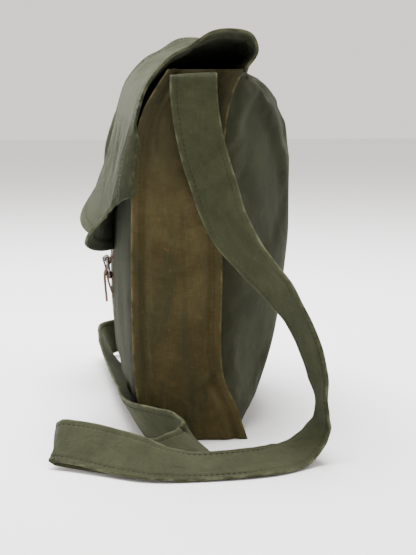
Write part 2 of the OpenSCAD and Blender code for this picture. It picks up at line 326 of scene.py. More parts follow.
# ---------------------------------------------------------------- meshes
def into_object(name: str, bm: bmesh.types.BMesh) -> bpy.types.Object:
    """Turn a bmesh into an object with smooth faces.

    Args:
        name: The piece's name.
        bm: The finished bmesh, which is freed.

    Returns:
        The object, linked to the scene.
    """
    mesh = bpy.data.meshes.new(name)
    for face in bm.faces:
        face.smooth = True
    bm.to_mesh(mesh)
    bm.free()
    piece = bpy.data.objects.new(name, mesh)
    bpy.context.scene.collection.objects.link(piece)
    return piece


@dataclass(frozen=True)
class Cloth:
    """A rectangle of cloth with its UV map in metres, and where each of its points goes."""

    name: str
    size: tuple[float, float]
    steps: tuple[int, int]
    place: Place
    bulk: Callable[[float, float], float] | None = None
    wear: Callable[[float, float], float] | None = None

    def build(self) -> bpy.types.Object:
        """Make the sheet.

        Returns:
            An object with a "weave" UV map, and "bulk" group and "wear" attribute where they are given.
        """
        bm = bmesh.new()
        bmesh.ops.create_grid(bm, x_segments=self.steps[0], y_segments=self.steps[1], size=0.5)
        weave = bm.loops.layers.uv.new("weave")
        worn = bm.verts.layers.float.new("wear")
        marks = {vert: (clamp(vert.co.x + 0.5), clamp(vert.co.y + 0.5)) for vert in bm.verts}
        for face in bm.faces:
            for loop in face.loops:
                u, v = marks[loop.vert]
                loop[weave].uv = (u * self.size[0], v * self.size[1])
        for vert, (u, v) in marks.items():
            vert[worn] = self.wear(u, v) if self.wear else 0.0
            vert.co = self.place(u, v)
        bm.verts.index_update()
        weights = [(vert.index, self.bulk(*marks[vert])) for vert in bm.verts] if self.bulk else []
        piece = into_object(self.name, bm)
        if weights:
            group = piece.vertex_groups.new(name="bulk")
            for index, weight in weights:
                group.add([index], weight, "REPLACE")
        return piece


def thicken(piece: bpy.types.Object, thickness: float, thin_share: float = 1.0, offset: float = -1.0) -> None:
    """Give a sheet its thickness, thinner where its "bulk" group is 0.

    Args:
        piece: The sheet.
        thickness: Full thickness, in metres.
        thin_share: Share of the thickness where the group is 0.
        offset: Which side of the sheet the thickness goes to, from -1 to 1.
    """
    solid = piece.modifiers.new("thickness", "SOLIDIFY")
    solid.thickness = thickness
    solid.offset = offset
    solid.use_even_offset = False
    if "bulk" in piece.vertex_groups:
        solid.vertex_group = "bulk"
        solid.thickness_vertex_group = thin_share


def refine(piece: bpy.types.Object, levels: int = 1) -> None:
    """Round a piece with a subdivision surface.

    Args:
        piece: The piece.
        levels: How many times each face is split in four.
    """
    subsurf = piece.modifiers.new("round", "SUBSURF")
    subsurf.levels = levels
    subsurf.render_levels = levels


def bake_modifiers(piece: bpy.types.Object) -> None:
    """Apply every modifier of a piece to its mesh.

    Args:
        piece: The piece, which keeps its name and its groups.
    """
    graph = bpy.context.evaluated_depsgraph_get()
    made = bpy.data.meshes.new_from_object(piece.evaluated_get(graph))
    piece.modifiers.clear()
    piece.data = made


@dataclass(frozen=True)
class Settling:
    """A short cloth simulation that lets a sewn panel find its own folds."""

    pressure: float = 0.6
    spare_cloth: float = 0.05
    bending: float = 0.6
    frames: int = 18
    cap: float = 7 * MM

    def run(self, piece: bpy.types.Object, pinned: Callable[[Vector], float]) -> None:
        """Simulate, then move each point as far as the cloth went, up to the cap.

        Args:
            piece: An open sheet without modifiers.
            pinned: How firmly a point is held, from 0 to 1.
        """
        start = [vert.co.copy() for vert in piece.data.vertices]
        held = piece.vertex_groups.new(name="held")
        for vert in piece.data.vertices:
            held.add([vert.index], pinned(vert.co), "REPLACE")
        sim = piece.modifiers.new("settle", "CLOTH")
        rules = sim.settings
        rules.quality = 6
        rules.mass = 0.3
        rules.tension_stiffness = 20
        rules.compression_stiffness = 20
        rules.shear_stiffness = 8
        rules.bending_stiffness = self.bending
        rules.vertex_group_mass = "held"
        rules.shrink_min = -self.spare_cloth
        rules.use_pressure = True
        rules.uniform_pressure_force = self.pressure
        rules.effector_weights.gravity = 0
        sim.collision_settings.use_collision = False
        sim.collision_settings.use_self_collision = False
        sim.point_cache.frame_start, sim.point_cache.frame_end = 1, self.frames
        scene = bpy.context.scene
        for frame in range(1, self.frames + 1):
            scene.frame_set(frame)
        graph = bpy.context.evaluated_depsgraph_get()
        moved = [vert.co.copy() for vert in piece.evaluated_get(graph).data.vertices]
        piece.modifiers.remove(sim)
        piece.vertex_groups.remove(held)
        scene.frame_set(1)
        for vert, old, new in zip(piece.data.vertices, start, moved):
            step = new - old
            vert.co = old + step * min(1.0, self.cap / max(step.length, 1e-9))


@dataclass
class Stitching:
    """Rows of thread, all in one piece."""

    name: str
    length: float = 3.0 * MM
    gap: float = 1.2 * MM
    radius: float = 0.42 * MM
    rows: list[tuple[list[Vector], list[Vector]]] = field(default_factory=list)

    def row(self, points: Sequence[Vector], normals: Sequence[Vector]) -> None:
        """Add a row along a line of points, with the cloth's normal at each."""
        self.rows.append((list(points), list(normals)))

    def build(self) -> bpy.types.Object:
        """Make every stitch of every row.

        Returns:
            One object that holds all the stitches.
        """
        bead = bmesh.new()
        bmesh.ops.create_icosphere(bead, subdivisions=1, radius=1)
        bead.verts.index_update()
        round_points = [vert.co.copy() for vert in bead.verts]
        round_faces = [[vert.index for vert in face.verts] for face in bead.faces]
        bead.free()
        points: list[Vector] = []
        faces: list[list[int]] = []
        for matrix in self._stitches():
            first = len(points)
            points.extend(matrix @ point for point in round_points)
            faces.extend([first + index for index in face] for face in round_faces)
        mesh = bpy.data.meshes.new(self.name)
        mesh.from_pydata([tuple(point) for point in points], [], faces)
        mesh.shade_smooth()
        piece = bpy.data.objects.new(self.name, mesh)
        bpy.context.scene.collection.objects.link(piece)
        return piece

    def _stitches(self) -> list[Matrix]:
        """Where each stitch goes: a small round bead, drawn out along its row.

        Returns:
            One matrix for each stitch, from the bead to its place.
        """
        found, pitch = [], self.length + self.gap
        for points, normals in self.rows:
            due = pitch / 2
            for a, b, normal in zip(points, points[1:], normals):
                span = (b - a).length
                while due < span:
                    along = (b - a).normalized()
                    across = normal.cross(along).normalized()
                    turn = Matrix((along, across, along.cross(across))).transposed().to_4x4()
                    stretch = Matrix.Diagonal((self.length / 2, self.radius, self.radius, 1))
                    found.append(Matrix.Translation(a.lerp(b, due / span)) @ turn @ stretch)
                    due += pitch
                due -= span
        return found


# ---------------------------------------------------------------- finishes
class Nodes:
    """A material's node tree, with short ways to add nodes."""

    def __init__(self, name: str) -> None:
        """Start an empty material with a Principled shader.

        Args:
            name: The material's name.
        """
        self.material = bpy.data.materials.new(name)
        self.material.use_nodes = True
        self.tree = self.material.node_tree
        self.shader = self.tree.nodes["Principled BSDF"]

    def add(self, kind: str, inputs: dict | None = None, **settings: object) -> bpy.types.Node:
        """Add a node.

        Args:
            kind: The node's type.
            inputs: Values or sockets for its inputs, by name or number.
            settings: Values for its properties.

        Returns:
            The node.
        """
        node = self.tree.nodes.new(kind)
        for key, value in settings.items():
            setattr(node, key, value)
        for key, value in (inputs or {}).items():
            if isinstance(value, bpy.types.NodeSocket):
                self.tree.links.new(value, node.inputs[key])
            else:
                node.inputs[key].default_value = value
        return node

    def weave_map(self) -> bpy.types.NodeSocket:
        """The cloth's own UV map, in metres."""
        return self.add("ShaderNodeUVMap", uv_map="weave").outputs["UV"]

    def solid(self) -> bpy.types.NodeSocket:
        """Object coordinates, in metres."""
        return self.add("ShaderNodeTexCoord").outputs["Object"]

    def scaled(self, vector: bpy.types.NodeSocket, scale: Sequence[float]) -> bpy.types.NodeSocket:
        """A vector stretched by a scale on each axis."""
        return self.add("ShaderNodeMapping", {"Vector": vector, "Scale": tuple(scale)}).outputs["Vector"]

    def noise(self, vector: bpy.types.NodeSocket, scale: float, detail: float = 3, rough: float = 0.5,
              warp: float = 0.0) -> bpy.types.NodeSocket:
        """Noise from 0 to 1.

        Args:
            vector: Where it is read.
            scale: Waves in a metre of the vector.
            detail: How many finer layers are added.
            rough: How strong the finer layers are.
            warp: How far the pattern is pulled about.

        Returns:
            The noise.
        """
        values = {"Vector": vector, "Scale": scale, "Detail": detail, "Roughness": rough, "Distortion": warp}
        return self.add("ShaderNodeTexNoise", values).outputs["Fac"]

    def math(self, operation: str, a: object, b: object = 0.0,
             clamped: bool = False) -> bpy.types.NodeSocket:
        """One arithmetic step."""
        return self.add("ShaderNodeMath", {0: a, 1: b}, operation=operation, use_clamp=clamped).outputs[0]

    def spread(self, value: bpy.types.NodeSocket, low: float, high: float) -> bpy.types.NodeSocket:
        """Stretch the values between low and high to 0 to 1.

        Args:
            value: The values.
            low: The value that becomes 0.
            high: The value that becomes 1.

        Returns:
            The stretched values, eased at both ends.
        """
        node = self.add("ShaderNodeMapRange", {"Value": value, "From Min": low, "From Max": high},
                        interpolation_type="SMOOTHSTEP")
        return node.outputs["Result"]

    def mix(self, share: object, a: object, b: object, blend: str = "MIX") -> bpy.types.NodeSocket:
        """Mix two colours.

        Args:
            share: How much of the second one is used, from 0 to 1.
            a: The first colour.
            b: The second colour.
            blend: How the second one is laid over the first.

        Returns:
            The mixed colour.
        """
        node = self.add("ShaderNodeMix", data_type="RGBA", blend_type=blend)
        for index, value in ((0, share), (6, a), (7, b)):
            if isinstance(value, bpy.types.NodeSocket):
                self.tree.links.new(value, node.inputs[index])
            else:
                node.inputs[index].default_value = value
        return node.outputs[2]

    def attribute(self, name: str) -> bpy.types.NodeSocket:
        """A number kept on the piece's points."""
        return self.add("ShaderNodeAttribute", attribute_name=name).outputs["Fac"]

    def set(self, **values: object) -> None:
        """Set or link the shader's own sockets.

        Args:
            values: Values or sockets by the socket's name, with underscores for spaces.
        """
        for key, value in values.items():
            socket = self.shader.inputs[key.replace("_", " ")]
            if isinstance(value, bpy.types.NodeSocket):
                self.tree.links.new(value, socket)
            else:
                socket.default_value = value

    def bump(self, height: bpy.types.NodeSocket, distance: float, strength: float = 1.0,
             under: bpy.types.NodeSocket | None = None) -> bpy.types.NodeSocket:
        """A bump in the surface.

        Args:
            height: Its height, from 0 to 1.
            distance: The full height, in metres.
            strength: Share of it that shows.
            under: Another bump that this one lies on.

        Returns:
            The surface's new normal.
        """
        values = {"Height": height, "Distance": distance, "Strength": strength}
        if under:
            values["Normal"] = under
        return self.add("ShaderNodeBump", values).outputs["Normal"]


def colour(red: float, green: float, blue: float) -> Colour:
    """A colour without transparency, in linear light."""
    return (red, green, blue, 1.0)


@dataclass(frozen=True)
class Canvas:
    """Plain-weave cotton canvas, faded and handled.

    Above a given height in metres, the colour is darkened towards a painted shade tone, for the shade that
    the flap's overhang casts.
    """

    name: str
    deep: Colour
    pale: Colour
    worn: Colour
    stain: Colour | None = None
    thread_pitch: float = 0.75 * MM
    fade_size: float = 14.0
    fuzz: float = 0.08
    crumple: float = 6 * MM
    # Height and tone of the painted shade that darkens the cloth under the flap.
    painted_shade_from: float = 0.0
    painted_shade_tone: Colour = (0.020, 0.020, 0.009, 1.0)
    speck: Colour = (0.10, 0.045, 0.018, 1.0)

    def material(self) -> bpy.types.Material:
        """Build the cloth's material.

        Returns:
            A material that reads the "weave" UV map and the "wear" attribute.
        """
        n = Nodes(self.name)
        weave, place = n.weave_map(), n.solid()
        warp_yarn = n.noise(n.scaled(weave, (1700, 90, 1)), 1, 1)
        weft_yarn = n.noise(n.scaled(weave, (90, 1700, 1)), 1, 1)
        yarn = n.math("ADD", warp_yarn, weft_yarn)
        n.set(Base_Color=self._dye(n, place, yarn), Roughness=0.95, Specular_IOR_Level=0.15)
        n.set(Sheen_Weight=self.fuzz, Sheen_Roughness=0.6, Sheen_Tint=colour(0.75, 0.80, 0.62))
        n.set(Normal=self._relief(n, place, yarn, self._knots(n, weave)))
        return n.material

    def _dye(self, n: Nodes, place: bpy.types.NodeSocket, yarn: bpy.types.NodeSocket) -> bpy.types.NodeSocket:
        """The cloth's colour: faded in patches, stained, shaded thread by thread, darkened near the top with
        painted shade, and worn.

        Args:
            n: The material's nodes.
            place: Object coordinates.
            yarn: Noise drawn out along the threads, from 0 to 2.

        Returns:
            The colour.
        """
        fade = n.noise(place, self.fade_size, 4, 0.55, 0.4)
        rub = n.noise(place, 90, 4, 0.6)
        tone = n.math("ADD", n.math("MULTIPLY", fade, 0.72), n.math("MULTIPLY", rub, 0.28))
        cloth = n.mix(n.spread(tone, 0.34, 0.66), self.deep, self.pale)
        if self.stain:
            streaks = n.noise(n.scaled(place, (14, 26, 5)), 1, 4, 0.6, 0.8)
            cloth = n.mix(n.spread(streaks, 0.5, 0.72), cloth, self.stain)
            specks = n.spread(n.noise(place, 210, 2, 0.5), 0.66, 0.74)
            cloth = n.mix(n.math("MULTIPLY", specks, 0.5), cloth, self.speck)
        light_and_dark = n.mix(n.spread(yarn, 0.62, 1.38), colour(0.6, 0.6, 0.6), colour(1.4, 1.4, 1.4))
        cloth = n.mix(0.45, cloth, light_and_dark, "MULTIPLY")
        # Painted shade: the colour darkens towards the top, where the flap's overhang keeps the light off.
        if self.painted_shade_from:
            height = n.add("ShaderNodeSeparateXYZ", {0: place}).outputs["Z"]
            above = n.spread(height, self.painted_shade_from, self.painted_shade_from + 0.1)
            cloth = n.mix(n.math("MULTIPLY", above, 0.62), cloth, self.painted_shade_tone)
        scuff = n.math("MULTIPLY", n.attribute("wear"), n.spread(rub, 0.38, 0.66), True)
        return n.mix(scuff, cloth, self.worn)

    def _relief(self, n: Nodes, place: bpy.types.NodeSocket, yarn: bpy.types.NodeSocket,
                knots: bpy.types.NodeSocket) -> bpy.types.NodeSocket:
        """The cloth's relief: soft folds, sharper creases, uneven yarn and the weave.

        Args:
            n: The material's nodes.
            place: Object coordinates.
            yarn: Noise drawn out along the threads.
            knots: Height of the weave.

        Returns:
            The surface's normal.
        """
        folds = n.bump(n.noise(n.scaled(place, (1, 1, 0.55)), 15, 2, 0.45, 1.2), self.crumple, 0.6)
        creases = n.bump(n.noise(place, 48, 3, 0.55, 1.4), 0.35 * self.crumple, 0.6, folds)
        slubs = n.bump(yarn, 0.3 * MM, 0.7, creases)
        return n.bump(knots, 0.2 * MM, 0.8, slubs)

    def _knots(self, n: Nodes, weave: bpy.types.NodeSocket) -> bpy.types.NodeSocket:
        """Height of the crossing threads, over and under by turns.

        Args:
            n: The material's nodes.
            weave: The cloth's UV map, in metres.

        Returns:
            The height, from -1 to 1.
        """
        parts = n.add("ShaderNodeSeparateXYZ", {0: weave})
        wave = math.pi / self.thread_pitch
        waves = [n.math("SINE", n.math("MULTIPLY", parts.outputs[k], wave)) for k in (0, 1)]
        return n.math("MULTIPLY", waves[0], waves[1])


@dataclass(frozen=True)
class Thread:
    """Waxed cotton thread."""

    name: str
    tint: Colour

    def material(self) -> bpy.types.Material:
        """Build the thread's material.

        Returns:
            A material that reads Object coordinates.
        """
        n = Nodes(self.name)
        place = n.solid()
        dirty = colour(*(0.5 * part for part in self.tint[:3]))
        tone = n.mix(n.noise(place, 260, 2), self.tint, dirty)
        n.set(Base_Color=tone, Roughness=0.8, Specular_IOR_Level=0.3)
        n.set(Normal=n.bump(n.noise(place, 1800, 1), 0.1 * MM, 0.5))
        return n.material


@dataclass(frozen=True)
class Leather:
    """Worn vegetable-tanned leather."""

    name: str
    deep: Colour
    pale: Colour
    worn: Colour = (0.15, 0.08, 0.05, 1.0)

    def material(self) -> bpy.types.Material:
        """Build the leather's material.

        Returns:
            A material that reads Object coordinates and the "wear" attribute.
        """
        n = Nodes(self.name)
        place = n.solid()
        grain = n.add("ShaderNodeTexVoronoi", {"Vector": place, "Scale": 900.0}, feature="DISTANCE_TO_EDGE")
        pores = n.spread(grain.outputs["Distance"], 0.0, 0.25)
        wear = n.noise(place, 130, 5, 0.65, 0.5)
        hide = n.mix(n.spread(wear, 0.38, 0.62), self.deep, self.pale)
        hide = n.mix(n.math("MULTIPLY", n.attribute("wear"), 0.7), hide, self.worn)
        n.set(Base_Color=hide, Specular_IOR_Level=0.5)
        n.set(Roughness=n.math("ADD", n.math("MULTIPLY", wear, 0.35), 0.38))
        cracks = n.bump(wear, 0.5 * MM, 0.5)
        n.set(Normal=n.bump(pores, 0.08 * MM, 0.6, cracks))
        return n.material


@dataclass(frozen=True)
class Steel:
    """Blackened steel wire, rubbed bright and rusty in places."""

    name: str
    dark: Colour
    bright: Colour
    rust: Colour

    def material(self) -> bpy.types.Material:
        """Build the steel's material.

        Returns:
            A material that reads Object coordinates.
        """
        n = Nodes(self.name)
        place = n.solid()
        rub = n.noise(place, 340, 4, 0.6)
        rot = n.noise(n.scaled(place, (1, 1, 1.7)), 210, 5, 0.7)
        metal = n.mix(n.spread(rub, 0.5, 0.66), self.dark, self.bright)
        metal = n.mix(n.math("MULTIPLY", n.spread(rot, 0.56, 0.68), 0.7), metal, self.rust)
        n.set(Base_Color=metal, Metallic=0.85)
        n.set(Roughness=n.math("ADD", n.math("MULTIPLY", rot, 0.4), 0.22))
        n.set(Normal=n.bump(rot, 0.15 * MM, 0.5))
        return n.material


@dataclass(frozen=True)
class Finishes:
    """Every finish on the bag."""

    body: bpy.types.Material
    flap: bpy.types.Material
    gusset: bpy.types.Material
    strap: bpy.types.Material
    thread: bpy.types.Material
    leather: bpy.types.Material
    steel: bpy.types.Material

    @classmethod
    def mixed(cls) -> "Finishes":
        """Mix every finish in its own colours.

        Returns:
            The finishes, one material each.
        """
        olive = Canvas("olive_canvas", deep=colour(0.009, 0.0105, 0.0033),
                       pale=colour(0.0185, 0.0205, 0.0078), worn=colour(0.060, 0.062, 0.030), fuzz=0.05)
        # The flap's canvas is a paler copy of the body's, as painted light for its brightly lit top.
        lit_flap = Canvas("sunned_canvas", deep=colour(0.0115, 0.0135, 0.005),
                        pale=colour(0.023, 0.026, 0.0115), worn=colour(0.065, 0.07, 0.037), fuzz=0.10)
        # The gusset canvas darkens towards its top with painted shade under the flap.
        faded = Canvas("faded_canvas", deep=colour(0.038, 0.029, 0.009), pale=colour(0.062, 0.048, 0.0165),
                       worn=colour(0.10, 0.085, 0.035), stain=colour(0.023, 0.023, 0.009),
                       painted_shade_from=0.19, painted_shade_tone=colour(0.014, 0.014, 0.006))
        webbing = Canvas("strap_canvas", deep=colour(0.022, 0.025, 0.0105), pale=colour(0.038, 0.041, 0.019),
                         worn=colour(0.085, 0.09, 0.05))
        hide = Leather("red_brown_leather", deep=colour(0.040, 0.014, 0.008),
                       pale=colour(0.095, 0.038, 0.022))
        metal = Steel("blackened_steel", dark=colour(0.06, 0.055, 0.05), bright=colour(0.30, 0.28, 0.26),
                      rust=colour(0.10, 0.045, 0.02))
        return cls(
            body=olive.material(),
            flap=lit_flap.material(),
            gusset=faded.material(),
            strap=webbing.material(),
            thread=Thread("olive_thread", colour(0.018, 0.018, 0.010)).material(),
            leather=hide.material(),
            steel=metal.material(),
        )


def finish_piece(piece: bpy.types.Object, material: bpy.types.Material) -> None:
    """Give a piece its material.

    Args:
        piece: The piece.
        material: Its finish.
    """
    piece.data.materials.clear()
    piece.data.materials.append(material)


# ---------------------------------------------------------------- shape of the bag
@dataclass(frozen=True)
class BagShape:
    """The bag's driving sizes, in metres, and the surfaces that follow from them."""

    half_w: float = 0.190
    height: float = 0.340
    half_d: float = 0.040
    front_swell: float = 0.030
    back_swell: float = 0.058
    rear_pinch: float = 0.030
    flange: float = 0.008
    canvas: float = 0.0016
    flap_rise: float = 0.031
    flap_saddle: float = 0.0305
    hem_mid_z: float = 0.159
    hem_side_z: float = 0.227
    hem_flare: float = 0.030
    flap_gap: float = 0.0024
    front_mid: Outline = Outline(((0, 0), (0.62, 0.06), (0.9, 0.18), (1, 0.34), (0.97, 0.59),
                                  (0.82, 0.77), (0.45, 0.89), (-0.3, 1)))
    front_side: Outline = Outline(((-0.1, 0), (0.3, 0.065), (0.5, 0.18), (0.57, 0.34), (0.57, 0.58),
                                   (0.5, 0.77), (0.2, 0.89), (-0.55, 1)))
    back_mid: Outline = Outline(((0.1, 0), (0.42, 0.09), (0.76, 0.25), (0.95, 0.47), (1, 0.62),
                                 (0.98, 0.77), (0.88, 0.885), (0.66, 0.96), (0.03, 1)))
    back_side: Outline = Outline(((0.2, 0), (0.55, 0.09), (1, 0.2), (1, 0.44), (1, 0.62),
                                  (0.97, 0.77), (0.84, 0.88), (0.62, 0.95), (0.35, 1)))

    @staticmethod
    def belly(t: float) -> float:
        """How full the body is at a share t of the way from the middle to a gusset."""
        return max(1 - abs(t) ** 2.6, 0.0) ** 0.8

    def front_yz(self, line: Outline, v: float) -> Vector:
        """A point of a front outline, at a share v of its length."""
        p = line.at(v)
        return Vector((-(self.half_d + self.front_swell * p.x), self.height * p.y))

    def back_mid_yz(self, v: float) -> Vector:
        """A point of the back's outline at mid width."""
        p = self.back_mid.at(v)
        return Vector((self.half_d + self.back_swell * p.x, self.height * p.y))

    def back_side_yz(self, v: float) -> Vector:
        """A point of the back's outline at a gusset."""
        p = self.back_side.at(v)
        return Vector((self.half_d - self.rear_pinch * p.x, self.height * p.y))

    def front(self, u: float, v: float) -> Vector:
        """The front panel's surface.

        Args:
            u: Share of the way from the left gusset to the right one.
            v: Share of the way from the base to the mouth.

        Returns:
            The point there.
        """
        t = 2 * u - 1
        yz = self.front_yz(self.front_side, v).lerp(self.front_yz(self.front_mid, v), self.belly(t))
        return Vector((self.half_w * t, yz.x, yz.y))

    def back(self, u: float, v: float) -> Vector:
        """The back panel's surface.

        Args:
            u: Share of the way from the right gusset to the left one.
            v: Share of the way from the base to the fold of the flap.

        Returns:
            The point there.
        """
        t = 1 - 2 * u
        side = self.back_side_yz(v)
        side.x += (self.hinge.y - side.x) * smooth(0.9, 1.0, v) ** 1.5
        yz = side.lerp(self.back_mid_yz(v), self.belly(t))
        return Vector((self.half_w * t, yz.x, yz.y + self.canvas * smooth(0.94, 1.0, v)))

    @property
    def hinge(self) -> Vector:
        """Where the flap folds over the top of the back."""
        return Vector((0, self.back_mid_yz(1).x, self.height + self.canvas))

    def arch(self, t: float) -> float:
        """Height of the flap's arch over the hinge line."""
        return self.flap_rise - self.flap_saddle * (1 - t * t) ** 2

    def hem_z(self, t: float) -> float:
        """Height of the flap's hem."""
        return self.hem_mid_z + (self.hem_side_z - self.hem_mid_z) * abs(t) ** 2.5

    def flare(self, t: float) -> float:
        """How far the hem stands out from the front."""
        return self.hem_flare * max(math.sin(math.pi * abs(t) ** 1.3), 0.0) ** 1.2

    def flap(self, u: float, v: float) -> Vector:
        """The flap's surface.

        Args:
            u: Share of the way from the left edge to the right one.
            v: Share of the way from the hinge to the hem, half of it over the top and half down the front.

        Returns:
            The point there.
        """
        t = 2 * u - 1
        y, z, rise = self.hinge.y, self.hinge.z, self.arch(t)
        mouth_y = self.front_yz(self.front_mid, 1).x
        shoulder = Vector((self.front_yz(self.front_mid, 0.8).x - self.flap_gap, 0.86 * self.height))
        if v < 0.5:
            over = Outline((
                (y, z),
                (y + 0.009, z + 0.45 * rise),
                (y + 0.002, z + 0.87 * rise),
                (y - 0.015, z + rise),
                (y - 0.034, z + 0.93 * rise),
                (y - 0.053, z + 0.55 * rise),
                (mouth_y, z + 0.16 * rise + 0.35 * self.flap_gap),
                (0.45 * mouth_y + 0.55 * shoulder.x - 0.003, 0.945 * self.height + self.flap_gap),
                (shoulder.x, shoulder.y),
            ))
            yz = over.at(2 * v)
        else:
            s = 2 * v - 1
            wall = -(self.half_d + self.front_swell) - self.flap_gap
            down = math.sin(math.pi / 2 * min(1.6 * s, 1))
            yz = Vector((shoulder.x + (wall - shoulder.x) * down - self.flare(t) * s**3,
                         shoulder.y + (self.hem_z(t) - shoulder.y) * s))
        return Vector(((self.half_w + self.canvas) * t, yz.x, yz.y))


# ---------------------------------------------------------------- the pieces
@dataclass
class Panels:
    """The front, the back and the base of the body."""

    shape: BagShape
    finishes: Finishes
    front_cut: Point = (0.385, 0.352)
    back_cut: Point = (0.40, 0.372)

    def front(self) -> bpy.types.Object:
        """The front panel, swelled by what fills the bag.

        Returns:
            The finished panel.
        """
        def place(u: float, v: float) -> Vector:
            """A point of the front, with the unevenness of filled cloth.

            Args:
                u: Share of the width.
                v: Share of the height.

            Returns:
                The point.
            """
            point = self.shape.front(u, v)
            point.y += 2.2 * MM * wander(9 * u, 7 * v, 3.1) * self.shape.belly(2 * u - 1)
            return point

        piece = Cloth("front_panel_canvas", self.front_cut, (72, 64), place, wear=self._top_wear).build()
        Settling(pressure=0.5, spare_cloth=0.03, cap=4 * MM).run(piece, self._sewn)
        return self._finish(piece, "front_panel")

    def back(self) -> bpy.types.Object:
        """The back panel, the fullest side of the bag.

        Returns:
            The finished panel.
        """
        def place(u: float, v: float) -> Vector:
            """A point of the back, with the unevenness of filled cloth.

            Args:
                u: Share of the width.
                v: Share of the height.

            Returns:
                The point.
            """
            point = self.shape.back(u, v)
            point.y += 3 * MM * wander(6 * u, 5 * v, 8.4) * self.shape.belly(2 * u - 1) * smooth(1, 0.9, v)
            return point

        piece = Cloth("back_panel_canvas", self.back_cut, (84, 72), place).build()
        Settling(pressure=0.8, spare_cloth=0.03, cap=5 * MM).run(piece, self._sewn)
        return self._finish(piece, "back_panel")

    def base(self) -> bpy.types.Object:
        """The flat base, which fills the frame's own base.

        Returns:
            The finished panel.
        """
        low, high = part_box("base_panel")

        def place(u: float, v: float) -> Vector:
            """A point of the base, from the back edge to the front one."""
            return Vector((low.x + (high.x - low.x) * u, high.y + (low.y - high.y) * v, 0.0))
        cut = (high.x - low.x, high.y - low.y)
        piece = Cloth("base_canvas", cut, (60, 12), place).build()
        return self._finish(piece, "base_panel")

    def _top_wear(self, _: float, v: float) -> float:
        """Wear along the mouth's turned edge."""
        return smooth(0.985, 1.0, v)

    def _sewn(self, point: Vector) -> float:
        """Hold the sewn edges, and less and less of the cloth beside them.

        Args:
            point: A point of the cloth.

        Returns:
            How firmly it is held, from 0 to 1.
        """
        side = smooth(0.012, 0.0, self.shape.half_w - abs(point.x))
        ends = max(smooth(0.012, 0.0, point.z), smooth(0.012, 0.0, self.shape.height - point.z))
        return max(side, ends)

    def _finish(self, piece: bpy.types.Object, node: str) -> bpy.types.Object:
        """Thicken, dress and attach one panel, and hide the frame's node that it stands for.

        Args:
            piece: The panel's sheet.
            node: The frame's node that it stands for.

        Returns:
            The same piece.
        """
        thicken(piece, self.shape.canvas)
        refine(piece)
        bake_modifiers(piece)
        finish_piece(piece, self.finishes.body)
        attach(piece, Body.ROOT.value)
        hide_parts(node)
        return piece


